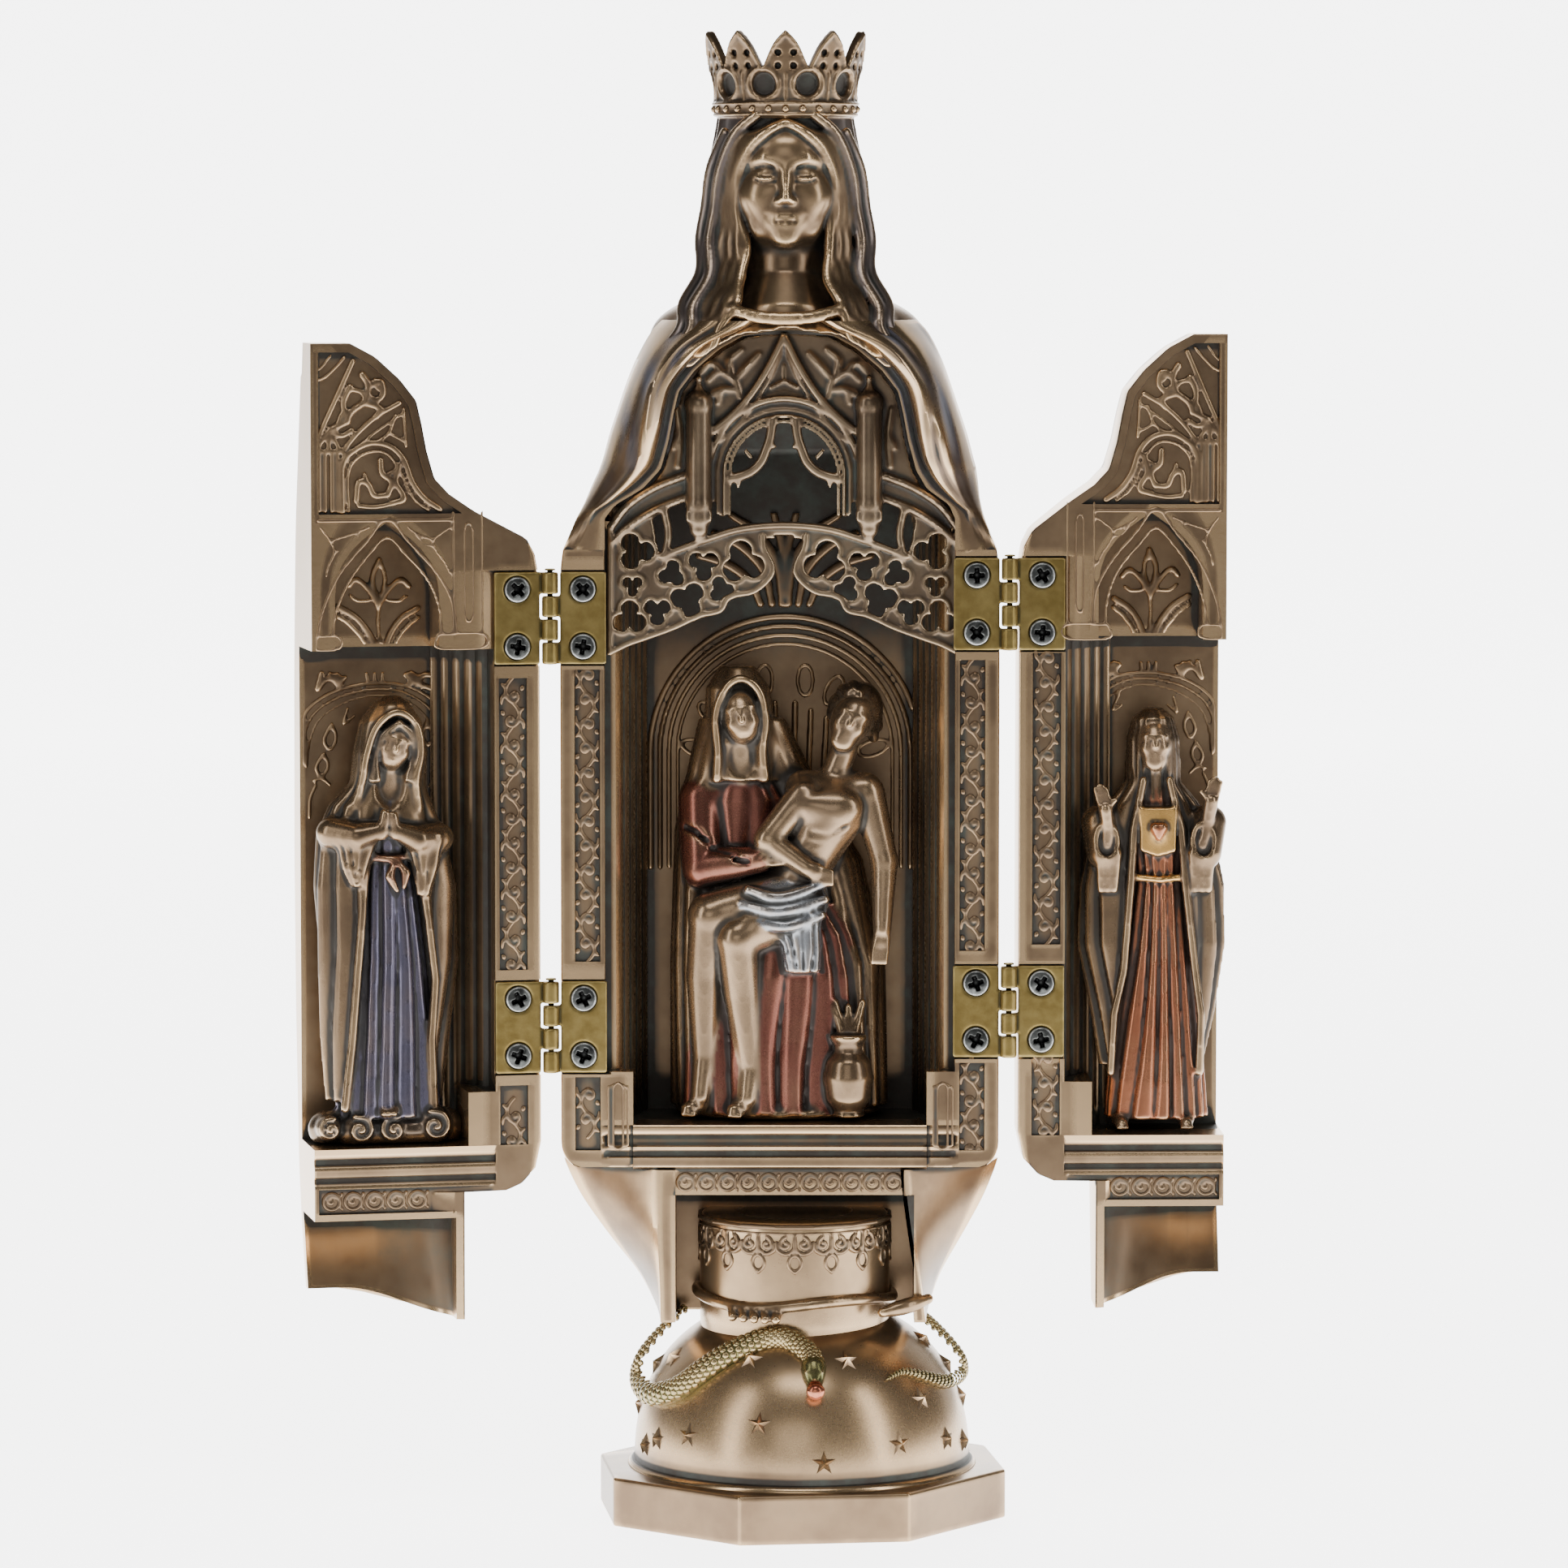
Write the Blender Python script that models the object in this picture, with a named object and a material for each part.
"""An openable shrine statue: a crowned lady in a mantle whose front is two hinged doors.

The body stands upright with its centre line on X = 0 and faces -Y. The origin is on the underside
of the plinth. The doors are drawn flat open, with their inner faces level with the body's front,
and then turned about their hinge pins to the angles at which they stand.
"""
import math

import bmesh
import bpy
from mathutils import Matrix, Vector

MM = 0.001

# Heights above the table, and of the crown and the head it stands on
CROWN_HEIGHT = 16.5 * MM
HEAD_HEIGHT = 40.1 * MM
NECKLINE_Z = 233.4 * MM
STILE_TOP_Z = 196.0 * MM
LEDGE_Z = 77.8 * MM
FRAME_BOTTOM_Z = 69.6 * MM
PEDESTAL_TOP_Z = 59.6 * MM
HEM_Z = 39.0 * MM
GLOBE_TOP_Z = 42.0 * MM
PLINTH_HEIGHT = 9.6 * MM

# Plan of the body, from its centre line and its front face
FRONT_Y = -10.0 * MM
PIN_X = 44.5 * MM
OPEN_GAP = 3.8 * MM
NICHE_HALF_WIDTH = 34.0 * MM
NICHE_BACK_HALF_WIDTH = 26.5 * MM
NICHE_DEPTH = 25.0 * MM
BACK_WALL = 9.0 * MM
CORNER_WIDTH = 5.4 * MM
CORNER_HEIGHT = 10.5 * MM
REBATE_DEPTH = 4.6 * MM
REBATE_STEP = 2.0 * MM
SEAM_X = 2.2 * MM
MANTLE_FULLNESS = 2.6
BACK_FOLDS = 6

# Base: the globe and plinth were set a little askew under the body
BASE_SHIFT = (4.3 * MM, 1.1 * MM)
BASE_TURN = math.radians(6.8)
PLINTH_HALF_WIDTH = 38.6 * MM
PLINTH_HALF_DEPTH = 36.4 * MM
PLINTH_SIDE_CUT = 13.5 * MM
PLINTH_FRONT_CUT = 16.5 * MM
GLOBE_RADIUS = 33.0 * MM
GLOBE_FULLNESS = 2.35
PEDESTAL_RADIUS = 18.6 * MM
PEDESTAL_SHIFT = 2.9 * MM
SERPENT_RADIUS = 1.9 * MM

# Hinges: antique brass butts, four knuckles each, and their screws
HINGE_Z = {"left": (97.1 * MM, 176.8 * MM), "right": (100.1 * MM, 179.5 * MM)}
LEAF_HEIGHT = 18.0 * MM
LEAF_REACH = 10.85 * MM
LEAF_THICKNESS = 1.0 * MM
KNUCKLE_RADIUS = 1.6 * MM
PIN_RADIUS = 0.55 * MM
KNUCKLES = 4
SCREW_HEAD_RADIUS = 2.5 * MM
SCREW_HEAD_HEIGHT = 1.1 * MM
SCREW_SHANK_RADIUS = 0.95 * MM
SCREW_LENGTH = 6.0 * MM
SCREW_REACH = 6.35 * MM
SCREW_SPACING = 11.1 * MM

# Fits
FIT = 0.3 * MM
CLOSING_GAP = 0.6 * MM
SEAM_GAP = 0.4 * MM
DOOR_CLEARANCE = 2.2 * MM
SCREEN_CLEARANCE = 0.5 * MM

# Doors
DOOR_DEPTH = 25.0 * MM
DOOR_WALL = 3.2 * MM
DOOR_NICHE_DEPTH = 17.0 * MM
DOOR_STILE = 9.0 * MM
DOOR_LEDGE_Z = 75.0 * MM
DOOR_CANOPY_Z = 171.7 * MM
DOOR_ARCH_WIDTH = 20.3 * MM
DOOR_ARCH_TOP_Z = 196.4 * MM
TAIL_REACH = 17.1 * MM
HEM_RISE = 5.5 * MM
DOOR_LIFT = {"left": -0.8 * MM, "right": 0.8 * MM}
SWING = {"left": math.radians(12.2), "right": math.radians(-1.6)}

# Screen, group and door figures
SCREEN_HEIGHT = 64.0 * MM
SCREEN_THICKNESS = 2.2 * MM
PINNACLE_RADIUS = 2.3 * MM
GROUP_HEIGHT = 91.0 * MM
PRAYING_HEIGHT = 90.0 * MM
ROBED_HEIGHT = 86.0 * MM

# Worked out
EDGE = OPEN_GAP / 2
PIN_Y = FRONT_Y - CLOSING_GAP / 2
STILE_X = PIN_X - EDGE
NICHE_BACK_Y = FRONT_Y + NICHE_DEPTH
BODY_BACK_Y = NICHE_BACK_Y + BACK_WALL
BOTTOM_HALF_WIDTH = PEDESTAL_RADIUS + 7.3 * MM
BORE_RADIUS = PIN_RADIUS + FIT
PILOT_RADIUS = SCREW_SHANK_RADIUS + FIT
CROWN_BOTTOM_Z = NECKLINE_Z + HEAD_HEIGHT
HEAD_UNIT = HEAD_HEIGHT / 40.1


def clear_scene():
    for old in list(bpy.data.objects):
        bpy.data.objects.remove(old, do_unlink=True)


def material(name, colour, roughness, metallic):
    made = bpy.data.materials.new(name)
    made.use_nodes = True
    shader = made.node_tree.nodes["Principled BSDF"]
    shader.inputs["Base Color"].default_value = (*colour, 1.0)
    shader.inputs["Roughness"].default_value = roughness
    shader.inputs["Metallic"].default_value = metallic
    return made


# Meshes

def add_object(name, bm, merge=0.02 * MM):
    """Make an object of a bmesh, closed and facing outwards."""
    bmesh.ops.remove_doubles(bm, verts=bm.verts, dist=merge)
    bmesh.ops.recalc_face_normals(bm, faces=bm.faces)
    mesh = bpy.data.meshes.new(name)
    bm.to_mesh(mesh)
    bm.free()
    made = bpy.data.objects.new(name, mesh)
    bpy.context.scene.collection.objects.link(made)
    return made


def bake(made):
    """Turn an object's modifiers into its mesh."""
    graph = bpy.context.evaluated_depsgraph_get()
    mesh = bpy.data.meshes.new_from_object(made.evaluated_get(graph))
    made.modifiers.clear()
    made.data = mesh
    return made


def combine(target, tools, operation):
    """Join tools to the target, or cut them from it, one after another."""
    for tool in tools:
        step = target.modifiers.new(operation, "BOOLEAN")
        step.operation = operation
        step.object = tool
        bake(target)
        bpy.data.objects.remove(tool, do_unlink=True)
    return target


def tidy(made):
    """Keep the main body without the specks that cuts leave, and merge faces that lie in one plane."""
    bm = bmesh.new()
    bm.from_mesh(made.data)
    groups = []
    waiting = set(bm.verts)
    while waiting:
        group = set()
        edge = [waiting.pop()]
        while edge:
            vert = edge.pop()
            group.add(vert)
            near = {link.other_vert(vert) for link in vert.link_edges} & waiting
            waiting -= near
            edge.extend(near)
        groups.append(group)
    main_group = max(groups, key=len)
    bmesh.ops.delete(bm, geom=[v for group in groups if group is not main_group for v in group], context="VERTS")
    bmesh.ops.dissolve_limit(bm, angle_limit=math.radians(0.4), verts=bm.verts, edges=bm.edges)
    bmesh.ops.triangulate(bm, faces=bm.faces)
    bm.to_mesh(made.data)
    bm.free()
    return made


def loft(rings):
    """A closed skin through rings of equal length, flat at both ends."""
    bm = bmesh.new()
    rows = [[bm.verts.new(point) for point in ring] for ring in rings]
    count = len(rows[0])
    for low, high in zip(rows, rows[1:]):
        for i in range(count):
            j = (i + 1) % count
            bm.faces.new((low[i], low[j], high[j], high[i]))
    bm.faces.new(rows[0])
    bm.faces.new(rows[-1])
    return bm


def turned(profile, centre, segments, start=0.0):
    """A solid of revolution about a vertical line, from (radius, height) points."""
    rings = []
    for radius, height in profile:
        ring = []
        for i in range(segments):
            angle = start + 2 * math.pi * i / segments
            ring.append((centre[0] + radius * math.cos(angle), centre[1] + radius * math.sin(angle), height))
        rings.append(ring)
    return loft(rings)


def rod(radius_a, radius_b, start, end, segments):
    """A straight round bar between two points."""
    axis = Vector(end) - Vector(start)
    bm = bmesh.new()
    place = Matrix.Translation((Vector(start) + Vector(end)) / 2) @ axis.to_track_quat("Z", "Y").to_matrix().to_4x4()
    bmesh.ops.create_cone(bm, cap_ends=True, segments=segments, radius1=radius_a, radius2=radius_b,
                          depth=axis.length, matrix=place)
    return bm


def block(low, high):
    """A box between two corners."""
    bm = bmesh.new()
    size = Vector(high) - Vector(low)
    place = Matrix.Translation((Vector(low) + Vector(high)) / 2) @ Matrix.Diagonal((*size, 1.0))
    bmesh.ops.create_cube(bm, size=1.0, matrix=place)
    return bm


def upright(outline, front, back, grow=0.0):
    """A slab whose front view is the outline, grown by a share at its back."""
    middle_x = sum(x for x, z in outline) / len(outline)
    middle_z = sum(z for x, z in outline) / len(outline)
    far = [(middle_x + (x - middle_x) * (1 + grow), back, middle_z + (z - middle_z) * (1 + grow))
           for x, z in outline]
    return loft([[(x, front, z) for x, z in outline], far])


def pierced(outline, holes, front, thickness):
    """A flat plate with holes through it, its face towards -Y."""
    curve = bpy.data.curves.new("plate", "CURVE")
    curve.dimensions = "2D"
    curve.fill_mode = "BOTH"
    curve.extrude = thickness / 2
    for loop in [outline] + holes:
        spline = curve.splines.new("POLY")
        spline.points.add(len(loop) - 1)
        for point, (x, z) in zip(spline.points, loop):
            point.co = (x, z, 0.0, 1.0)
        spline.use_cyclic_u = True
    flat = bpy.data.objects.new("plate", curve)
    bpy.context.scene.collection.objects.link(flat)
    graph = bpy.context.evaluated_depsgraph_get()
    bm = bmesh.new()
    bm.from_mesh(bpy.data.meshes.new_from_object(flat.evaluated_get(graph)))
    bpy.data.objects.remove(flat, do_unlink=True)
    bmesh.ops.transform(bm, verts=bm.verts, matrix=Matrix.Translation((0, front + thickness / 2, 0))
                        @ Matrix.Rotation(math.pi / 2, 4, "X"))
    return bm


# Curves

def between(stations, height):
    """Read a table of (height, value, ...) rows at a height, in straight runs."""
    if height <= stations[0][0]:
        return stations[0][1:]
    for low, high in zip(stations, stations[1:]):
        if height <= high[0]:
            share = (height - low[0]) / (high[0] - low[0])
            return tuple(a + (b - a) * share for a, b in zip(low[1:], high[1:]))
    return stations[-1][1:]


def arc(centre_x, centre_z, radius, start, end, steps, squash=1.0):
    """Points along an arc in the front view, angles in degrees from +X."""
    points = []
    for i in range(steps + 1):
        angle = math.radians(start + (end - start) * i / steps)
        points.append((centre_x + radius * math.cos(angle), centre_z + radius * squash * math.sin(angle)))
    return points


def shoulder_outline(inset):
    """Half of the line at which the doors meet the shoulders, as (reach from the seam, height).

    It runs from the top of the stile up to the neckline.
    """
    rise = NECKLINE_Z - STILE_TOP_Z
    line = [(NICHE_HALF_WIDTH + 7.6 * MM, 0.0), (NICHE_HALF_WIDTH - 0.5 * MM, 0.08), (28.7 * MM, 0.185),
            (25.9 * MM, 0.28), (24.4 * MM, 0.43), (23.4 * MM, 0.575), (22.4 * MM, 0.69),
            (19.2 * MM, 0.80), (14.5 * MM, 0.915), (9.5 * MM, 0.985)]
    out = []
    for reach, share in line:
        out.append((max(reach - inset, 1.0 * MM), STILE_TOP_Z + rise * share - inset * 0.9 * min(1, share * 3)))
    return out


def outline_half_width(height):
    """Half-width of the body's front face between the shoulders at a height."""
    table = [(z, reach) for reach, z in shoulder_outline(0.0)]
    return between(table, height)[0]


# Modelling of figures from rounded masses

class Clay:
    """Rounded masses that are fused into one skin."""

    def __init__(self, scale=1.0, origin=(0.0, 0.0, 0.0)):
        self.bm = bmesh.new()
        self.scale = scale
        self.origin = Vector(origin)

    def at(self, point):
        return self.origin + Vector(point) * self.scale

    def ball(self, centre, radii, turn=0.0):
        size = [r * self.scale for r in radii]
        place = (Matrix.Translation(self.at(centre)) @ Matrix.Rotation(math.radians(turn), 4, "Y")
                 @ Matrix.Diagonal((*size, 1.0)))
        bmesh.ops.create_icosphere(self.bm, subdivisions=2, radius=1.0, matrix=place)

    def limb(self, points, radii):
        for a, b, ra, rb in zip(points, points[1:], radii, radii[1:]):
            start, end = self.at(a), self.at(b)
            piece = rod(ra * self.scale, rb * self.scale, start, end, 10)
            mesh = bpy.data.meshes.new("limb")
            piece.to_mesh(mesh)
            piece.free()
            self.bm.from_mesh(mesh)
            bpy.data.meshes.remove(mesh)
        for point, radius in zip(points, radii):
            self.ball(point, (radius, radius, radius))

    def fuse(self, name, voxel, triangles):
        made = add_object(name, self.bm)
        skin = made.modifiers.new("skin", "REMESH")
        skin.mode = "VOXEL"
        skin.voxel_size = voxel
        smooth = made.modifiers.new("smooth", "SMOOTH")
        smooth.factor = 0.5
        smooth.iterations = 2
        bake(made)
        thin = made.modifiers.new("thin", "DECIMATE")
        thin.ratio = min(1.0, triangles / (2 * len(made.data.polygons)))
        bake(made)
        return made


# The body

def mantle_ring(height, front, side, side_y, bulge, back, centre, fold):
    """One level of the mantle: flat front, shoulders or stiles, then the folded back."""
    points = []
    for along, forward, drop in ((0.0, 0.0, 0.0), (0.12, 1.0, 0.05), (0.45, 1.05, 0.3), (0.8, 0.7, 0.7)):
        points.append((front + (side - front) * along, FRONT_Y - bulge * forward + (side_y - FRONT_Y) * drop))
    ring = [(centre[0] + x, y, height) for x, y in points]
    start = math.asin(min((side_y - FRONT_Y) / (back - FRONT_Y), 0.9) ** (MANTLE_FULLNESS / 2))
    steps = 2 * BACK_FOLDS + 2
    for i in range(steps + 1):
        angle = start + (math.pi - 2 * start) * i / steps
        depth = max(math.sin(angle), 0.0)
        wave = 1.0 - fold * depth * (-1) ** i
        x = side * math.copysign(abs(math.cos(angle)) ** (2 / MANTLE_FULLNESS), math.cos(angle))
        y = FRONT_Y + (back - FRONT_Y) * depth ** (2 / MANTLE_FULLNESS) * wave
        ring.append((centre[1] + x, y, height))
    ring += [(centre[0] - x, y, height) for x, y in reversed(points)]
    return ring


def mantle_stations():
    """Level by level from the hem up: front, side, side's place, bulge, back, centres, folds."""
    skirt = FRAME_BOTTOM_Z - HEM_Z
    rise = NECKLINE_Z - STILE_TOP_Z
    rows = []
    hem = BOTTOM_HALF_WIDTH
    for share, wide, back, shift in ((0.0, 0.3, 0.62, 2.6), (0.25, 3.0, 0.75, 2.0), (0.47, 8.0, 0.86, 1.2),
                                     (0.73, 13.0, 0.96, 0.5), (0.985, 17.0, 1.0, 0.2)):
        spread = (STILE_X - hem) / (17.0 * MM)
        rows.append((HEM_Z + skirt * share, hem - 1.9 * MM * share, hem + wide * MM * spread, FRONT_Y + 14 * MM,
                     0.0, BODY_BACK_Y * back, (shift * MM, shift * MM), 0.05))
    stile = (NICHE_HALF_WIDTH, STILE_X, FRONT_Y)
    rows.append((FRAME_BOTTOM_Z, NICHE_HALF_WIDTH, STILE_X - 3.5 * MM, FRONT_Y, 0.0, BODY_BACK_Y, (0, 0), 0.05))
    for height in (FRAME_BOTTOM_Z + 4.5 * MM, (LEDGE_Z + STILE_TOP_Z) / 2, STILE_TOP_Z - 9 * MM):
        rows.append((height, *stile, 0.0, BODY_BACK_Y + 1.5 * MM, (0, 0), 0.045))
    for share, side, bulge, back, shift in (
            (0.0, 39.2, 0.0, 1.0, 0.3), (0.185, 37.2, 4.0, 1.0, 1.0), (0.30, 35.8, 6.5, 0.99, 1.3),
            (0.45, 34.2, 8.0, 0.98, 1.5), (0.65, 31.8, 9.2, 0.95, 1.8), (0.85, 29.0, 9.5, 0.88, 2.2), (0.98, 26.4, 9.5, 0.80, 2.4),
            (1.09, 21.5, 9.0, 0.68, 2.2), (1.18, 15.5, 7.5, 0.55, 1.4)):
        height = STILE_TOP_Z + rise * share
        front = outline_half_width(height) if share < 0.985 else 1.5 * MM
        reach = min(side * MM, STILE_X - 1 * MM)
        rows.append((height, min(front, reach - 3 * MM), reach, FRONT_Y + (6.0 if share else 2.0) * MM,
                     bulge * MM, BODY_BACK_Y * back, (SEAM_X * 0.75, shift * MM), 0.04))
    return rows


def head():
    """Head, veil, hair and neckline, from rounded masses set round the face's centre."""
    clay = Clay(HEAD_UNIT, (1.1 * MM, 0.0, CROWN_BOTTOM_Z))
    clay.ball((0, -4, -14), (10.3, 12.4, 13.4))
    clay.ball((0, -9, -20.5), (6.6, 7.0, 6.0))
    clay.limb([(0, -15.6, -11), (0, -18.2, -16.2)], [1.0, 1.7])
    clay.ball((0, -14.6, -21.6), (2.8, 1.8, 1.3))
    clay.ball((0, 0.5, -11), (13.0, 13.6, 12.6))
    clay.ball((0, 2.5, -13), (14.6, 13.8, 15.6))
    clay.limb([(0, 1.0, -10), (0, 0, 0.4)], [13.6, 12.3])
    clay.limb([(0, -1.5, -24), (0, -2, -42)], [6.4, 7.0])
    clay.ball((0, -7, -44.5), (17.5, 11.5, 8.5))
    clay.ball((1.2, 4, -45), (27, 13.5, 13))
    for side in (-1, 1):
        clay.limb([(side * 4, -13.4, -3.4), (side * 9.6, -10.5, -9), (side * 11.6, -8.5, -20),
                   (side * 11.4, -9.5, -31), (side * 13.8, -15.5, -41)], [1.6, 2.4, 2.8, 2.8, 3.2])
        clay.limb([(side * 12.6, -4, -6), (side * 14.2, -4, -18), (side * 15.4, -5, -30),
                   (side * 18.6, -11, -42), (side * 22, -11, -52)], [2.2, 2.2, 2.6, 3.4, 2.8])
        clay.ball((side * 9, 2, -32), (9, 9, 12))
    clay.ball((0.6, 5.5, -33), (14.5, 9.5, 21))
    made = clay.fuse("head", 1.15 * MM, 600)
    combine(made, [add_object("trim", block((-60 * MM, -60 * MM, CROWN_BOTTOM_Z + 1.2 * MM),
                                            (60 * MM, 60 * MM, CROWN_BOTTOM_Z + 40 * MM)))], "DIFFERENCE")
    return made


def crown():
    """A flaring crown of eight pointed petals with a round hole between each two."""
    petals, columns = 8, 4
    wall = 1.5 * HEAD_UNIT
    centre = (1.1 * MM, 0.0)
    rows = ((0.0, 12.9, 0.0), (0.2, 13.0, 0.0), (0.24, 12.4, 0.0), (1.0, 15.3, 1.0))
    rings = []
    for inner in (False, True):
        order = (rows[-1], rows[0]) if inner else rows
        for share, radius, notch in order:
            ring = []
            for i in range(petals * columns):
                angle = 2 * math.pi * i / (petals * columns) - math.pi / 2
                away = abs((i / columns + 0.5) % 1.0 - 0.5) * 2
                height = CROWN_HEIGHT * (share - notch * 0.42 * away ** 0.8)
                reach = (radius - notch * away * 0.9) * HEAD_UNIT - (wall if inner else 0.0)
                floor = CROWN_BOTTOM_Z - (0.0 if not inner or share > 0.1 else -1.6 * MM)
                ring.append((centre[0] + reach * math.cos(angle), centre[1] + reach * math.sin(angle),
                             floor + height))
            rings.append(ring)
    made = add_object("crown", loft(rings))
    hole = 2.3 * HEAD_UNIT
    cutters = []
    for k in range(petals):
        angle = 2 * math.pi * (k + 0.5) / petals - math.pi / 2
        out = Vector((math.cos(angle), math.sin(angle), 0.0))
        middle = Vector((*centre, CROWN_BOTTOM_Z + CROWN_HEIGHT * 0.42))
        cutters.append(add_object("hole", rod(hole, hole, middle + out * 9 * HEAD_UNIT,
                                              middle + out * 18 * HEAD_UNIT, 6)))
    return combine(made, cutters, "DIFFERENCE")


def plinth_outline():
    """The irregular octagon of the plinth, before it is turned."""
    wide, deep = PLINTH_HALF_WIDTH, PLINTH_HALF_DEPTH
    side, front = PLINTH_SIDE_CUT, PLINTH_FRONT_CUT
    return [(front, -deep), (wide, -side), (wide, side), (front, deep),
            (-front, deep), (-wide, side), (-wide, -side), (-front, -deep)]


def on_base(x, y):
    """A place on the turned and shifted base."""
    c, s = math.cos(BASE_TURN), math.sin(BASE_TURN)
    return BASE_SHIFT[0] + c * x - s * y, BASE_SHIFT[1] + s * x + c * y


def plinth():
    soft = 0.5 * MM
    rings = []
    for height, inset in ((0.0, soft), (soft, 0.0), (PLINTH_HEIGHT - soft, 0.0), (PLINTH_HEIGHT, soft)):
        ring = []
        for x, y in plinth_outline():
            px, py = on_base(x * (1 - inset / PLINTH_HALF_WIDTH), y * (1 - inset / PLINTH_HALF_WIDTH))
            ring.append((px, py, height))
        rings.append(ring)
    return add_object("plinth", loft(rings))


def globe_radius_at(height):
    """Radius of the globe's skin at a height."""
    low = PLINTH_HEIGHT
    share = min(max((height - low) / (GLOBE_TOP_Z - low), 0.0), 1.0)
    return GLOBE_RADIUS * (1.0 - share ** GLOBE_FULLNESS) ** (1 / GLOBE_FULLNESS)


def globe():
    base = PLINTH_HEIGHT - 1.0 * MM
    profile = [(GLOBE_RADIUS + 1.2 * MM, base), (GLOBE_RADIUS + 1.2 * MM, PLINTH_HEIGHT + 0.5 * MM)]
    for i in range(6):
        share = math.sin(math.pi / 2 * (i + 0.4) / 6.4)
        height = PLINTH_HEIGHT + (GLOBE_TOP_Z - PLINTH_HEIGHT) * share
        profile.append((globe_radius_at(height), height))
    return add_object("globe", turned(profile, BASE_SHIFT, 20))


def serpent():
    """The serpent that lies over the globe, in two stretches that the hem parts, and its apple."""
    clay = Clay(1.0)
    stretches = (
        ((-130, 38), (-160, 33), (-178, 28), (-160, 24), (-140, 27), (-121, 31), (-104, 34.5), (-92, 36),
         (-84, 32), (-80, 28)),
        ((-38, 37), (-22, 33), (-15, 28.5), (-24, 26), (-38, 28.5), (-46, 27.5), (-53, 26)))
    for stretch, path in enumerate(stretches):
        points = []
        radii = []
        for turn, height in path:
            angle = math.radians(turn)
            reach = globe_radius_at(height * MM) + SERPENT_RADIUS * 0.4
            points.append((BASE_SHIFT[0] + reach * math.cos(angle), BASE_SHIFT[1] + reach * math.sin(angle),
                           height * MM))
            radii.append(SERPENT_RADIUS * (1.0 if stretch == 0 else 0.75))
        clay.limb(points, radii)
        if stretch == 0:
            tip = Vector(points[-1])
            clay.ball(tip, (2.6 * MM, 2.2 * MM, 3.2 * MM))
            clay.ball(tip + Vector((0.3 * MM, -2.0 * MM, -2.6 * MM)), (1.9 * MM, 1.9 * MM, 1.9 * MM))
    return clay.fuse("serpent", 0.9 * MM, 250)


def niche_outline(inset):
    """Front view of the niche's mouth: jambs, then the line under the shoulders."""
    half = NICHE_HALF_WIDTH - inset
    right = [(half, LEDGE_Z), (half, STILE_TOP_Z)]
    right += [(reach, z) for reach, z in shoulder_outline(inset + 1.2 * MM)[1:]]
    apex = [(SEAM_X * 0.75, NECKLINE_Z - inset - 1.2 * MM)]
    shift = SEAM_X * 0.75
    left = []
    full = []
    for x, z in right:
        slide = shift * min(max((z - STILE_TOP_Z) / (10 * MM), 0.0), 1.0)
        full.append((x + slide, z))
        left.append((slide - x, z))
    return full + apex + list(reversed(left))


def niche_cutter():
    """The deep part of the niche, splayed from a wide mouth to a narrower back wall."""
    mouth = niche_outline(REBATE_STEP)
    share = NICHE_BACK_HALF_WIDTH / (NICHE_HALF_WIDTH - REBATE_STEP)
    bottom, top = LEDGE_Z, NECKLINE_Z
    rings = []
    for depth, narrow, lower in ((-1.0 * MM, 1.0, 1.0), (2 * MM, 1.0, 1.0), (NICHE_DEPTH, share, 0.86)):
        rings.append([(x * narrow, FRONT_Y + depth, bottom + (z - bottom) * lower) for x, z in mouth])
    return add_object("niche", loft(rings))


def rebate_cutter():
    return add_object("rebate", upright(niche_outline(0.0), FRONT_Y - 1 * MM,
                                        FRONT_Y + REBATE_DEPTH))


def corner_blocks():
    """The short pilasters that stand in the niche's lower corners."""
    blocks = []
    for sign in (-1, 1):
        near, far = sign * (NICHE_HALF_WIDTH - CORNER_WIDTH), sign * (NICHE_HALF_WIDTH + 1 * MM)
        blocks.append(add_object("corner", block(
            (min(near, far), FRONT_Y, LEDGE_Z - 2 * MM),
            (max(near, far), FRONT_Y + CORNER_WIDTH, LEDGE_Z + CORNER_HEIGHT))))
    return blocks


def door_space():
    """Room for the doors' tops in front of the body, under the neckline."""
    shift = SEAM_X * 0.75
    half = shoulder_outline(0.0)[1:]
    right = [(shift + reach, z) for reach, z in half]
    left = [(shift - reach, z) for reach, z in reversed(half)]
    low = [(-PIN_X + 2 * MM, half[0][1]), (-PIN_X + 2 * MM, STILE_TOP_Z), (PIN_X - 2 * MM, STILE_TOP_Z),
           (PIN_X - 2 * MM, half[0][1])]
    return add_object("door space", upright(low[2:] + right + left + low[:2], FRONT_Y, FRONT_Y - 60 * MM, 0.10))


def lower_recess():
    """The hollow under the frame, round the pedestal, and the sunk frieze above it."""
    wide = BOTTOM_HALF_WIDTH - 2.6 * MM
    middle = PEDESTAL_SHIFT
    hollow = block((middle - wide, FRONT_Y - 5 * MM, HEM_Z - 6 * MM), (middle + wide, 6 * MM, FRAME_BOTTOM_Z - 5.6 * MM))
    frieze = block((middle - wide, FRONT_Y - 5 * MM, FRAME_BOTTOM_Z - 6 * MM),
                   (middle + wide - 2 * MM, FRONT_Y + 1.0 * MM, FRAME_BOTTOM_Z - 0.6 * MM))
    return [add_object("hollow", hollow), add_object("frieze", frieze)]


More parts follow.
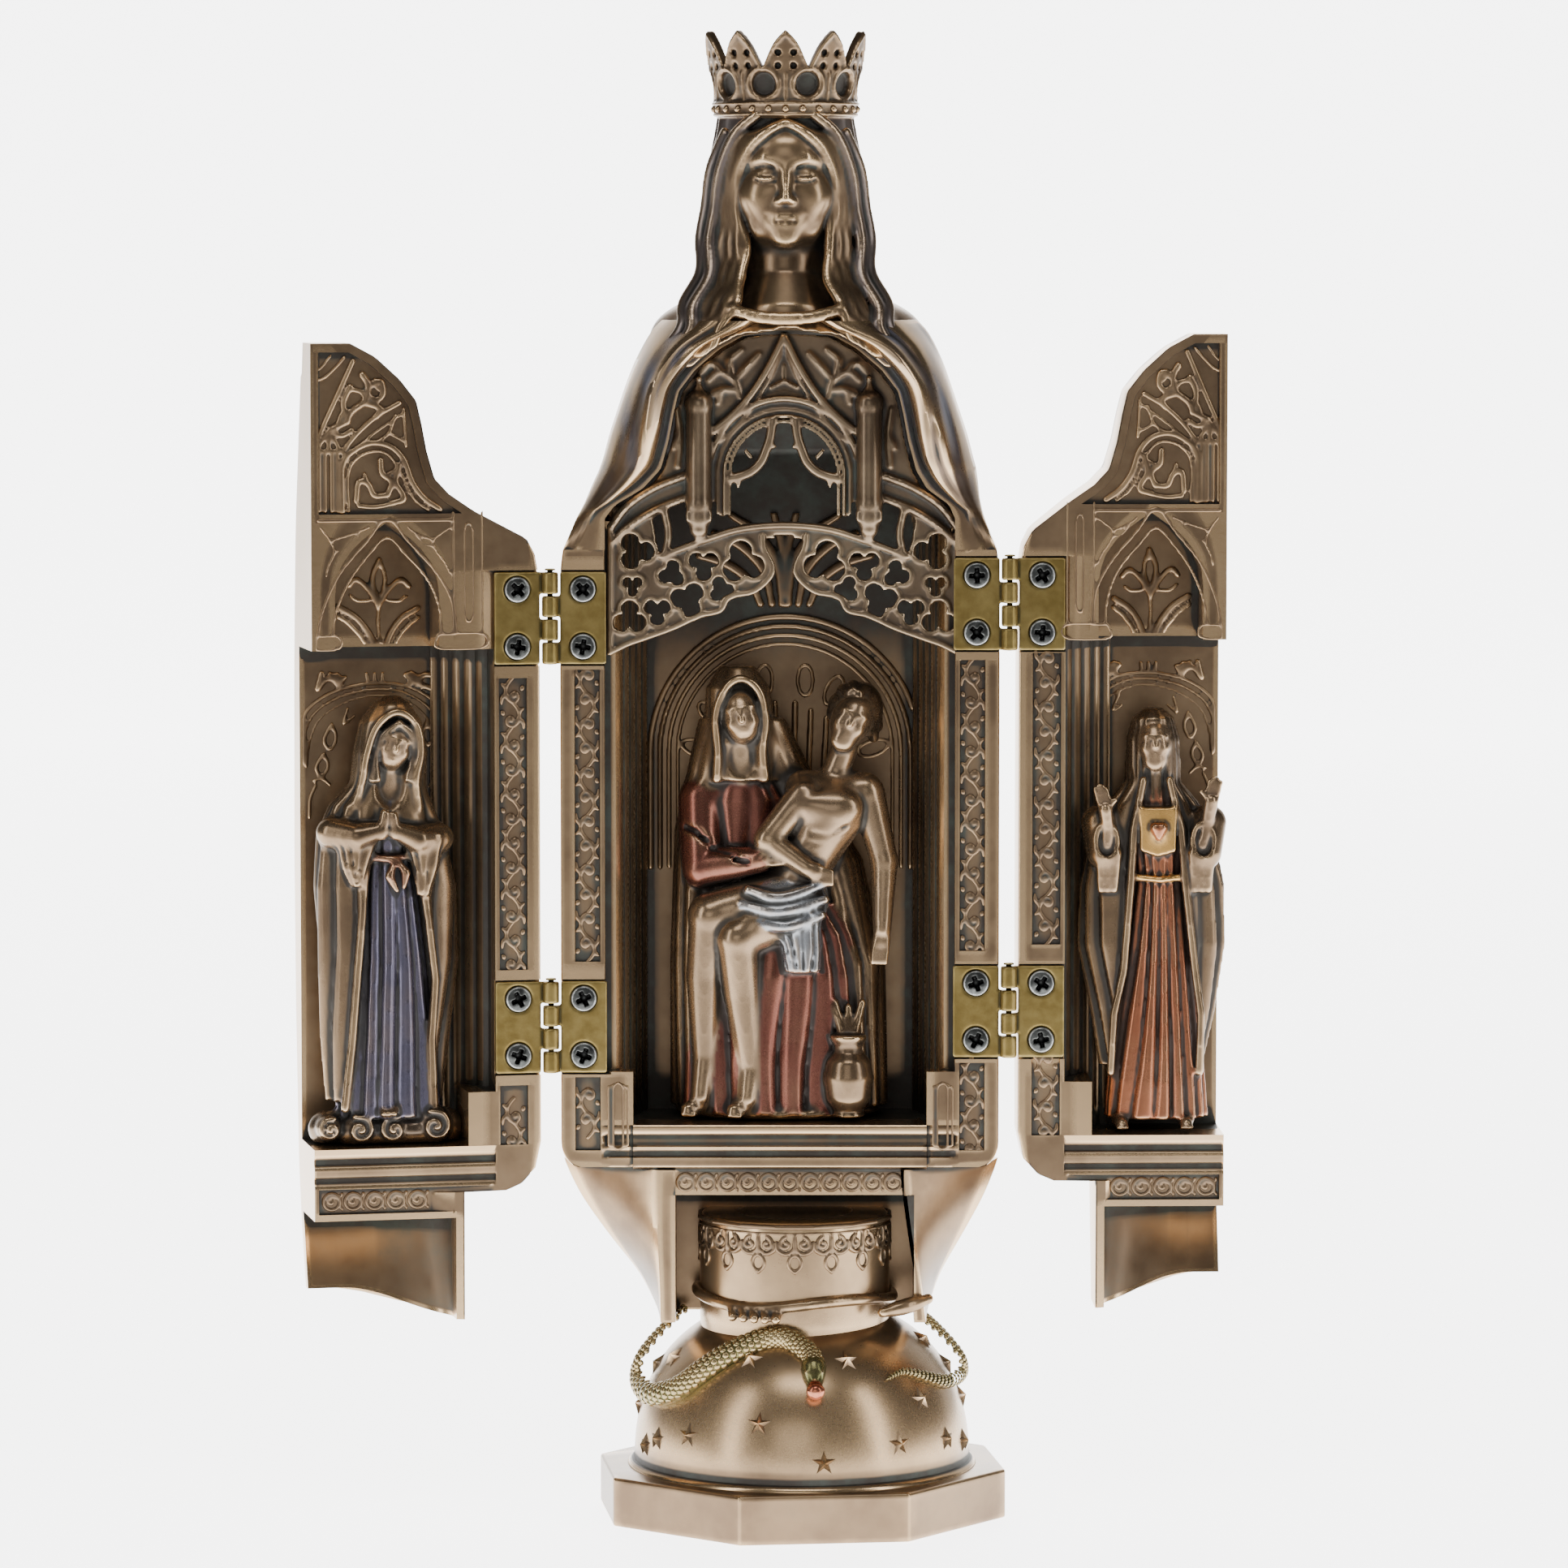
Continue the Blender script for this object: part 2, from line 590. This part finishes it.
def hinge_seats(side):
    """Pockets for the leaves and pilot holes for the screws, towards +X from the pin's line."""
    seats = []
    for height in HINGE_Z[side]:
        half = LEAF_HEIGHT / 2 + FIT
        face = FRONT_Y - PIN_Y
        seats.append(block((0.0, face - 1 * MM, height - half),
                           (LEAF_REACH + FIT, face + LEAF_THICKNESS + FIT, height + half)))
        for offset in (-SCREW_SPACING / 2, SCREW_SPACING / 2):
            seats.append(rod(PILOT_RADIUS, PILOT_RADIUS, (SCREW_REACH, face, height + offset),
                             (SCREW_REACH, face + SCREW_LENGTH + 2 * FIT, height + offset), 6))
    return seats


def placed(bm, matrix):
    bmesh.ops.transform(bm, verts=bm.verts, matrix=matrix)
    return bm


def body():
    made = add_object("shrine_body", loft([mantle_ring(*row) for row in mantle_stations()]))
    pedestal = turned([(PEDESTAL_RADIUS, GLOBE_TOP_Z - 6 * MM), (PEDESTAL_RADIUS, PEDESTAL_TOP_Z - 0.6 * MM),
                       (PEDESTAL_RADIUS - 0.6 * MM, PEDESTAL_TOP_Z)], (PEDESTAL_SHIFT, 0.0), 20)
    combine(made, [head()], "UNION")
    combine(made, [rebate_cutter(), niche_cutter(), *lower_recess(), door_space()], "DIFFERENCE")
    parts = [crown(), add_object("pedestal", pedestal), globe(), plinth(), serpent()]
    combine(made, parts + corner_blocks(), "UNION")
    seats = []
    for side, sign in (("left", -1), ("right", 1)):
        place = Matrix.Translation((sign * PIN_X, PIN_Y, 0)) @ Matrix.Diagonal((-sign, 1, 1, 1))
        seats += [add_object("seat", placed(seat, place)) for seat in hinge_seats(side)]
    return tidy(combine(made, seats, "DIFFERENCE"))


# The tracery screen

def lobe(x, z, radius, points=6):
    return arc(x, z, radius, 0, 360 * (points - 1) / points, points - 1)


def both_sides(half):
    """A run of points from the right side to the left one, mirrored about the middle."""
    return half + [(-x, z) for x, z in reversed(half)]


def screen():
    """A pierced plate: gable, round arch with cusps, side bands and a curved lower rail."""
    unit = SCREEN_HEIGHT / 63.0
    middle = SEAM_X * 0.35
    foot_z = NECKLINE_Z - SCREEN_HEIGHT
    half = NICHE_HALF_WIDTH - SCREEN_CLEARANCE
    around = niche_outline(SCREEN_CLEARANCE)[1:-1]
    edge = both_sides([(-27.5, 2.0), (-21.5, 4.3), (-15.9, 7.8), (-10.0, 10.4), (-4.9, 10.9), (-1.6, 15.3),
                       (-2.6, 21.3)])
    outline = [(half, foot_z)] + around + [(-half, foot_z)]
    outline += [(middle + x * unit, foot_z + z * unit) for x, z in edge]
    arch = both_sides([(11.4, 22.6), (11.8, 32.6), (10.8, 37.6), (7.8, 42.0), (5.0, 36.8), (2.6, 41.2), (1.9, 44.2)])
    arch += [(-6.0, 23.9), (0.0, 24.5), (6.0, 23.9)]
    holes = [[(middle + x * unit, foot_z + z * unit) for x, z in arch]]
    for side in (-1, 1):
        for x, z, radius in ((8.3, 16.6, 2.9), (14.7, 12.7, 2.4), (21.7, 10.2, 2.7), (29.3, 8.0, 2.7),
                             (28.9, 17.2, 2.8), (21.3, 21.6, 2.2)):
            holes.append(lobe(middle + side * x * unit, foot_z + z * unit, radius * unit))
    face = FRONT_Y + REBATE_DEPTH - FIT - SCREEN_THICKNESS
    made = add_object("tracery_screen", pierced(outline, holes, face, SCREEN_THICKNESS))
    parts = []
    bar = 1.0 * MM
    for side in (-1, 1):
        profile = [(0.9, 20.8), (0.9, 23.0), (1.9, 23.5), (1.9, 25.0), (3.0, 25.5), (3.0, 27.2),
                   (2.3, 27.8), (2.3, 46.4), (1.2, 48.8), (0.5, 51.6)]
        points = [(PINNACLE_RADIUS * min(radius, 2.3) / 2.3, foot_z + z * unit) for radius, z in profile]
        axis = (middle + side * 16.0 * unit, FRONT_Y + PINNACLE_RADIUS + FIT)
        parts.append(turned(points, axis, 8))
        gable = [(0.2, 60.6), (2.2, 59.0), (13.6, 37.1), (12.2, 35.6), (-0.4, 57.2)]
        parts.append(upright([(middle + side * x * unit, foot_z + z * unit) for x, z in gable],
                             face - bar, face + bar))
    arch_z = foot_z + 34.2 * unit
    ring = arc(middle, arch_z, 12.6 * unit, 0, 180, 10) + arc(middle, arch_z, 14.1 * unit, 180, 0, 10)
    parts.append(upright(ring, face - bar, face + bar))
    return tidy(combine(made, [add_object("trim", part) for part in parts], "UNION"))


# The doors, drawn flat open: x runs away from the pin, towards +X; mirrored for the left one

def door_outline(side):
    """Where the door ends, as (height, nearest reach from the pin): its shoulder, stile and tail."""
    free = door_reach(side)
    shift = 0.75 * SEAM_X if side == "left" else -0.75 * SEAM_X
    line = []
    tail = FRAME_BOTTOM_Z - 3.6 * MM
    line.append((HEM_Z + 2.0 * MM, TAIL_REACH))
    line.append((tail, TAIL_REACH))
    line.append((tail + 0.15 * MM, EDGE + 7.0 * MM))
    line.append((tail + 4.5 * MM, EDGE + 1.5 * MM))
    line.append((tail + 9.5 * MM, EDGE))
    line.append((STILE_TOP_Z - 11 * MM, EDGE))
    line.append((STILE_TOP_Z - 3 * MM, EDGE + 2.0 * MM))
    for reach, z in shoulder_outline(DOOR_CLEARANCE)[1:]:
        line.append((z, min(PIN_X + shift - reach, free - 2 * MM)))
    return line


def door_reach(side):
    """From the pin to the free edge."""
    return PIN_X + (SEAM_X if side == "left" else -SEAM_X) - SEAM_GAP / 2


def door_depth(height):
    """How far the mantle's front stands before the mating face, at the seam."""
    table = ((HEM_Z, 0.50), (FRAME_BOTTOM_Z - 12 * MM, 0.70), (FRAME_BOTTOM_Z, 0.84), (100 * MM, 0.96),
             (130 * MM, 1.0), (165 * MM, 0.95), (STILE_TOP_Z, 0.82), (215 * MM, 0.66), (NECKLINE_Z, 0.46))
    return between(table, height)[0] * DOOR_DEPTH


def door_casting(side):
    """The door with its niche, drawn with the pin's line at the origin and the stile at +X."""
    free = door_reach(side)
    face = FRONT_Y - PIN_Y
    half = free + 2 * MM
    steps = 8
    rings = []
    for height, near in door_outline(side):
        depth = door_depth(height)
        if near > 30 * MM:
            depth *= 0.9
        lift = HEM_RISE if height < FRAME_BOTTOM_Z - 10 * MM else 0.0
        ring = [(free, face, height + lift), (near, face, height)]
        for i in range(1, steps + 1):
            share = i / steps
            x = near + (free - near) * (1 - math.cos(math.pi / 2 * share)) ** 1.25
            away = min(max((free + 0.5 * MM - x) / half, 0.0), 1.0)
            skin = depth * (1 - away ** 2.6) ** (1 / 2.6)
            fold = 1.0 + 0.05 * math.cos(share * math.pi * 5 + height / (45 * MM))
            rise = lift * (1 - math.cos(math.pi * min(share * 1.3, 1.0))) / 2
            ring.append((x, face + skin * fold * (0.97 if i == steps else 1.0), height + rise))
        rings.append(ring)
    made = add_object(side + "_door", loft(rings))
    cutters = [door_niche(free, face), door_arch(free, face), door_tail(side, free, face)]
    lower = Matrix.Translation((0, 0, -DOOR_LIFT[side]))
    cutters += [placed(seat, lower) for seat in hinge_seats(side)] + door_frame_cuts(free, face)
    combine(made, [add_object("cut", cutter) for cutter in cutters], "DIFFERENCE")
    near = EDGE + DOOR_STILE - 1 * MM
    corner = block((near, face, DOOR_LEDGE_Z - 2 * MM),
                   (near + 1 * MM + CORNER_WIDTH, face + CORNER_WIDTH, DOOR_LEDGE_Z + CORNER_HEIGHT))
    return tidy(combine(made, [add_object("corner", corner)], "UNION"))


def door_niche(free, face):
    """The niche, open to the free edge, from the ledge up to behind the canopy."""
    near = EDGE + DOOR_STILE
    far = free + 3 * MM
    deep = DOOR_NICHE_DEPTH
    plan = [(near, face - 1 * MM), (near, face + deep * 0.5), (near + 4 * MM, face + deep * 0.85),
            (near + 10 * MM, face + deep), (far, face + deep), (far, face - 1 * MM)]
    low = [(x, y, DOOR_LEDGE_Z) for x, y in plan]
    high = [(x, y, DOOR_CANOPY_Z) for x, y in plan]
    return loft([low, high])


def door_arch(free, face):
    """The pointed opening under the canopy, which runs on into the niche behind."""
    middle = free - 14.7 * MM
    half = DOOR_ARCH_WIDTH / 2
    rise = DOOR_ARCH_TOP_Z - DOOR_CANOPY_Z
    spring = DOOR_CANOPY_Z + rise * 0.42
    right = [(half, DOOR_CANOPY_Z - 2 * MM), (half, spring), (half * 0.9, spring + rise * 0.25),
             (half * 0.55, spring + rise * 0.45), (0.0, DOOR_ARCH_TOP_Z)]
    outline = right + [(-x, z) for x, z in reversed(right[:-1])]
    return upright([(middle + x, z) for x, z in outline], face - 1 * MM, face + DOOR_NICHE_DEPTH * 0.72)


def door_tail(side, free, face):
    """The hollow below the ledge, which leaves the door's tail a shell round the pedestal."""
    near = TAIL_REACH + 1.7 * MM
    rings = []
    top = PEDESTAL_TOP_Z + FIT * 5 - DOOR_LIFT[side] / 2
    for height in (HEM_Z - 5 * MM, HEM_Z + 10 * MM, top):
        deep = door_depth(height) - DOOR_WALL
        plan = [(near, face - 1 * MM), (near, face + deep * 0.55), (near + 6 * MM, face + deep * 0.88),
                (near + 14 * MM, face + deep * 0.98), (free + 5 * MM, face + deep), (free + 5 * MM, face - 1 * MM)]
        rings.append([(x, y, height) for x, y in plan])
    return loft(rings)


def door_frame_cuts(free, face):
    """Sunk fields of the canopy and the slots beside the opening."""
    sunk = 0.8 * MM
    cuts = []
    slot = EDGE + DOOR_STILE + 1.9 * MM
    cuts.append(block((slot, face - 1 * MM, DOOR_CANOPY_Z + 3 * MM),
                      (slot + 1.3 * MM, face + sunk, STILE_TOP_Z - 1.5 * MM)))
    top = NECKLINE_Z - DOOR_CLEARANCE
    field = [(free - 2.2 * MM, STILE_TOP_Z + 3 * MM), (free - 2.2 * MM, top - 3.5 * MM), (free - 7 * MM, top - 3.5 * MM),
             (free - 18 * MM, top - 13 * MM), (free - 19.0 * MM, STILE_TOP_Z + 12 * MM),
             (free - 25 * MM, STILE_TOP_Z + 3.5 * MM)]
    cuts.append(upright(field, face - 1 * MM, face + sunk))
    ledge_face = (FRAME_BOTTOM_Z - 7.6 * MM, FRAME_BOTTOM_Z - 3.4 * MM)
    cuts.append(block((free - 23 * MM, face - 1 * MM, ledge_face[0]), (free + 1 * MM, face + sunk, ledge_face[1])))
    return cuts


# Hinges

def leaf(knuckles):
    """One leaf with its knuckles, towards +X, the pin's line at the origin; drawn about z = 0."""
    face = FRONT_Y - PIN_Y
    pitch = LEAF_HEIGHT / KNUCKLES
    half = LEAF_HEIGHT / 2
    clear = KNUCKLE_RADIUS + FIT
    made = add_object("leaf", block((clear, face, -half), (LEAF_REACH, face + LEAF_THICKNESS, half)))
    joins = []
    for k in knuckles:
        low = -half + pitch * k + (FIT / 2 if k else 0.0)
        high = -half + pitch * (k + 1) - (FIT / 2 if k < KNUCKLES - 1 else 0.0)
        joins.append(add_object("tab", block((0.4 * MM, face, low), (clear + 1 * MM, face + LEAF_THICKNESS, high))))
        joins.append(add_object("knuckle", rod(KNUCKLE_RADIUS, KNUCKLE_RADIUS, (0, 0, low - 0.02 * MM),
                                               (0, 0, high + 0.02 * MM), 8)))
    combine(made, joins, "UNION")
    cuts = [add_object("bore", rod(BORE_RADIUS, BORE_RADIUS, (0, 0, -LEAF_HEIGHT), (0, 0, LEAF_HEIGHT), 6))]
    for offset in (-SCREW_SPACING / 2, SCREW_SPACING / 2):
        grow = SCREW_HEAD_RADIUS + FIT
        narrow = screw_radius_at(LEAF_THICKNESS) + FIT
        slope = (grow - narrow) / LEAF_THICKNESS
        reach = 0.5 * MM
        cuts.append(add_object("hole", rod(grow + slope * reach, narrow - slope * reach,
                                           (SCREW_REACH, face - reach, offset),
                                           (SCREW_REACH, face + LEAF_THICKNESS + reach, offset), 6)))
    return tidy(combine(made, cuts, "DIFFERENCE")).data


def screw_radius_at(depth):
    """Radius of the screw's tapered head at a depth under its top."""
    share = min(depth / SCREW_HEAD_HEIGHT, 1.0)
    return SCREW_HEAD_RADIUS + (SCREW_SHANK_RADIUS - SCREW_HEAD_RADIUS) * share


def screw_mesh():
    """A countersunk screw that points along +Y, its flat top at the origin."""
    profile = [(SCREW_HEAD_RADIUS, 0.0), (SCREW_SHANK_RADIUS, SCREW_HEAD_HEIGHT),
               (SCREW_SHANK_RADIUS, SCREW_LENGTH)]
    bm = placed(turned(profile, (0, 0), 7), Matrix.Rotation(-math.pi / 2, 4, "X"))
    return add_object("screw", bm).data


def hinges(pivots, brass, steel):
    """Both leaves, the pin and four screws of each of the four hinges."""
    sets = {"fixed": leaf(range(0, KNUCKLES, 2)), "door": leaf(range(1, KNUCKLES, 2))}
    mirrored = {}
    for key, mesh in sets.items():
        mesh.materials.clear()
        mesh.materials.append(brass)
        flipped = mesh.copy()
        flipped.transform(Matrix.Diagonal((-1, 1, 1, 1)))
        flipped.flip_normals()
        mirrored[key] = flipped
    screw = screw_mesh()
    screw.materials.append(steel)
    pin = add_object("pin", rod(PIN_RADIUS, PIN_RADIUS, (0, 0, -LEAF_HEIGHT / 2), (0, 0, LEAF_HEIGHT / 2 + 0.4 * MM),
                                8)).data
    pin.materials.append(brass)
    for side, outward in (("left", -1), ("right", 1)):
        for level, height in zip(("lower", "upper"), HINGE_Z[side]):
            for part in ("fixed", "door"):
                direction = outward if part == "door" else -outward
                mesh = sets[part] if direction > 0 else mirrored[part]
                parent = pivots[side] if part == "door" else pivots["body " + side]
                hang(f"{side}_{level}_{part}_leaf", mesh, parent, (0, 0, height))
                for number, offset in enumerate((-1, 1), 1):
                    hang(f"{side}_{level}_{part}_screw_{number}", screw, parent,
                         (direction * SCREW_REACH, FRONT_Y - PIN_Y, height + offset * SCREW_SPACING / 2))
            hang(f"{side}_{level}_pin", pin, pivots["body " + side], (0, 0, height))


def hang(name, mesh, parent, location):
    made = bpy.data.objects.new(name, mesh)
    bpy.context.scene.collection.objects.link(made)
    made.parent = parent
    made.location = location
    return made


# Figures

def mourning_group():
    """A veiled woman seated with a man across her lap, and a vase, all one casting."""
    unit = GROUP_HEIGHT / 91.0
    clay = Clay(unit, (0.0, FRONT_Y + 13.5 * MM, LEDGE_Z + FIT))
    clay.ball((1, 5, 24), (17, 6, 26))
    clay.ball((-1, 7, 48), (17, 4.3, 34))
    clay.limb([(-9, -2, 34), (-12, -1, 9)], [7.5, 8.5])
    clay.limb([(10, -1, 36), (9, -1, 9)], [8, 8.5])
    clay.limb([(-3, 5, 42), (-7, 5, 64)], [9, 7.6])
    clay.limb([(-16, 4, 62), (2, 4, 64)], [5.2, 5.2])
    clay.ball((-8, 1.4, 80), (5.0, 5.8, 6.6))
    clay.ball((-8, 3.6, 81), (6.8, 6.4, 9.0))
    clay.limb([(-14, 5, 77), (-17.5, 5, 58), (-19, 5, 36)], [2.6, 3.2, 3.6])
    clay.limb([(-2, 6, 78), (5, 7, 66), (14, 6, 44), (16, 4, 22)], [3.0, 4, 4.5, 4.5])
    clay.limb([(-17, 2, 60), (-15, -3, 49), (-2, -7, 52)], [4.4, 3.6, 2.4])
    clay.limb([(3, -2, 45), (10, -1, 61)], [6.6, 7.4])
    clay.limb([(4, -1, 66), (17, -1, 65)], [3.6, 3.6])
    clay.limb([(11, -1, 68), (13, -1.5, 74)], [2.8, 2.6])
    clay.ball((14.2, -1.6, 79), (4.6, 5.4, 5.8), 18)
    clay.limb([(0, -3, 43), (-16, -5, 39), (-15, -4, 12), (-19, -6, 3.0)], [5.6, 4.4, 2.6, 2.1])
    clay.limb([(3, -4, 41), (-10, -7.4, 34), (-5, -5.5, 9), (-9, -8, 2.6)], [5.6, 4.6, 2.6, 2.1])
    clay.limb([(18, -1, 64), (22, -2, 50), (20.5, -4, 36), (20, -4.6, 31)], [3.2, 2.7, 1.9, 1.9])
    clay.limb([(4, -3, 65), (-3, -5.4, 55), (6, -7.6, 49)], [3.0, 2.6, 2.0])
    clay.ball((1, -5, 42), (8.5, 5, 5.5))
    clay.ball((0, 3, 2.2), (21, 9, 3.4))
    made = clay.fuse("mourning_group", 1.0 * unit, 620)
    vase = [(3.6, 0.0), (3.0, 1.2), (5.4, 9.0), (5.5, 13.5), (2.9, 17.0), (2.9, 18.6), (4.4, 20.4), (4.4, 21.6)]
    centre = (16.8 * unit, FRONT_Y + 6.6 * MM)
    foot = LEDGE_Z + FIT
    profile = [(radius * unit, foot + height * unit) for radius, height in vase]
    combine(made, [add_object("vase", turned(profile, centre, 10))], "UNION")
    trim = block((-90 * MM, -90 * MM, LEDGE_Z - 40 * MM), (90 * MM, 90 * MM, LEDGE_Z + FIT))
    front = block((-90 * MM, -90 * MM, LEDGE_Z - 40 * MM), (90 * MM, FRONT_Y + 0.5 * MM, NECKLINE_Z))
    back = block((-90 * MM, NICHE_BACK_Y - FIT, LEDGE_Z - 40 * MM), (90 * MM, 90 * MM, NECKLINE_Z))
    return combine(made, [add_object("trim", part) for part in (trim, front, back)], "DIFFERENCE")


def standing_figure(name, height, centre_x, hands_up):
    """A robed standing figure in a mantle, with joined or raised hands."""
    unit = height / 90.0
    clay = Clay(unit, (centre_x, FRONT_Y - PIN_Y + 9.2 * MM, DOOR_LEDGE_Z + FIT))
    clay.limb([(0, 0, 8), (0, 0, 40), (0, 0, 60)], [7.6, 6.4, 6.0])
    clay.ball((0, 2.5, 38), (11.5, 4.4, 36))
    clay.limb([(-5, -2, 6), (-4, -2, 36)], [4.2, 3.8])
    clay.limb([(5, -2, 6), (4, -2, 36)], [4.2, 3.8])
    clay.limb([(-6.5, 0, 66), (6.5, 0, 66)], [4.4, 4.4])
    clay.limb([(0, 0, 70), (0, -0.4, 76)], [2.6, 2.5])
    clay.ball((0, -0.8, 80.4), (4.2, 4.8, 5.8))
    clay.ball((0, 0.8, 80.4), (5.6, 4.8, 7.4))
    clay.ball((0, 1, 72), (6.6, 4.4, 7))
    for side in (-1, 1):
        clay.limb([(side * 8.5, 0.5, 65), (side * 11, -1, 50), (side * 11.4, 0.5, 30), (side * 9.5, 1, 12)],
                  [3.6, 3.4, 2.8, 2.2])
        if hands_up:
            clay.limb([(side * 9, -1, 56), (side * 10.6, -3.4, 50), (side * 11.5, -4.5, 62), (side * 12, -4.6, 68)],
                      [3, 2.8, 2.0, 1.7])
        else:
            clay.limb([(side * 9, -1, 60), (side * 8.4, -4, 53), (side * 2, -5.6, 58), (side * 0.8, -5.6, 64.5)],
                      [3, 2.8, 2.2, 1.2])
        clay.limb([(side * 3, -3.4, 2.2), (side * 4, -6.4, 1.8)], [1.8, 1.5])
        if not hands_up:
            clay.ball((side * 6, -1, 3.2), (6.5, 6, 3.8))
    made = clay.fuse(name, 0.9 * unit, 400)
    face = FRONT_Y - PIN_Y
    below = block((-20 * MM, -60 * MM, DOOR_LEDGE_Z - 20 * MM), (90 * MM, 60 * MM, DOOR_LEDGE_Z + FIT))
    behind = block((-20 * MM, face + DOOR_NICHE_DEPTH - FIT, DOOR_LEDGE_Z - 20 * MM), (90 * MM, 60 * MM, 250 * MM))
    before = block((-20 * MM, -60 * MM, DOOR_LEDGE_Z - 20 * MM), (90 * MM, face + 0.4 * MM, 250 * MM))
    return combine(made, [add_object("trim", part) for part in (below, behind, before)], "DIFFERENCE")


def mirror_mesh(made):
    made.data.transform(Matrix.Diagonal((-1, 1, 1, 1)))
    made.data.flip_normals()


def main():
    clear_scene()
    bronze = material("cold-cast bronze", (0.22, 0.15, 0.09), 0.38, 0.85)
    dark_bronze = material("dark bronze screen", (0.15, 0.10, 0.065), 0.42, 0.85)
    red_bronze = material("wine-red tinted bronze", (0.20, 0.08, 0.06), 0.40, 0.75)
    blue_bronze = material("blue tinted bronze", (0.16, 0.15, 0.18), 0.40, 0.75)
    orange_bronze = material("orange-red tinted bronze", (0.38, 0.14, 0.06), 0.40, 0.75)
    brass = material("antique brass", (0.35, 0.26, 0.10), 0.40, 1.0)
    steel = material("blackened steel", (0.10, 0.10, 0.10), 0.35, 1.0)

    pivots = {}
    for side, sign in (("left", -1), ("right", 1)):
        for name in (side, "body " + side):
            pivot = bpy.data.objects.new(name + " pivot", None)
            bpy.context.scene.collection.objects.link(pivot)
            pivot.location = (sign * PIN_X, PIN_Y, 0)
            pivots[name] = pivot
        pivots[side].rotation_euler[2] = -sign * SWING[side]

    body().data.materials.append(bronze)
    screen().data.materials.append(dark_bronze)
    mourning_group().data.materials.append(red_bronze)
    for side, sign in (("left", -1), ("right", 1)):
        casting = door_casting(side)
        casting.data.materials.append(bronze)
        free = door_reach(side)
        if side == "left":
            figure = standing_figure("praying_figure", PRAYING_HEIGHT, free - 15.8 * MM, False)
            figure.data.materials.append(blue_bronze)
        else:
            figure = standing_figure("robed_figure", ROBED_HEIGHT, free - 13.4 * MM, True)
            figure.data.materials.append(orange_bronze)
        for made in (casting, figure):
            if sign < 0:
                mirror_mesh(made)
            made.parent = pivots[side]
            made.location[2] = DOOR_LIFT[side]
    hinges(pivots, brass, steel)
    for leftover in [o for o in bpy.data.objects if o.type == "MESH" and o.name in ("leaf", "leaf.001", "screw", "pin")]:
        bpy.data.objects.remove(leftover, do_unlink=True)


main()
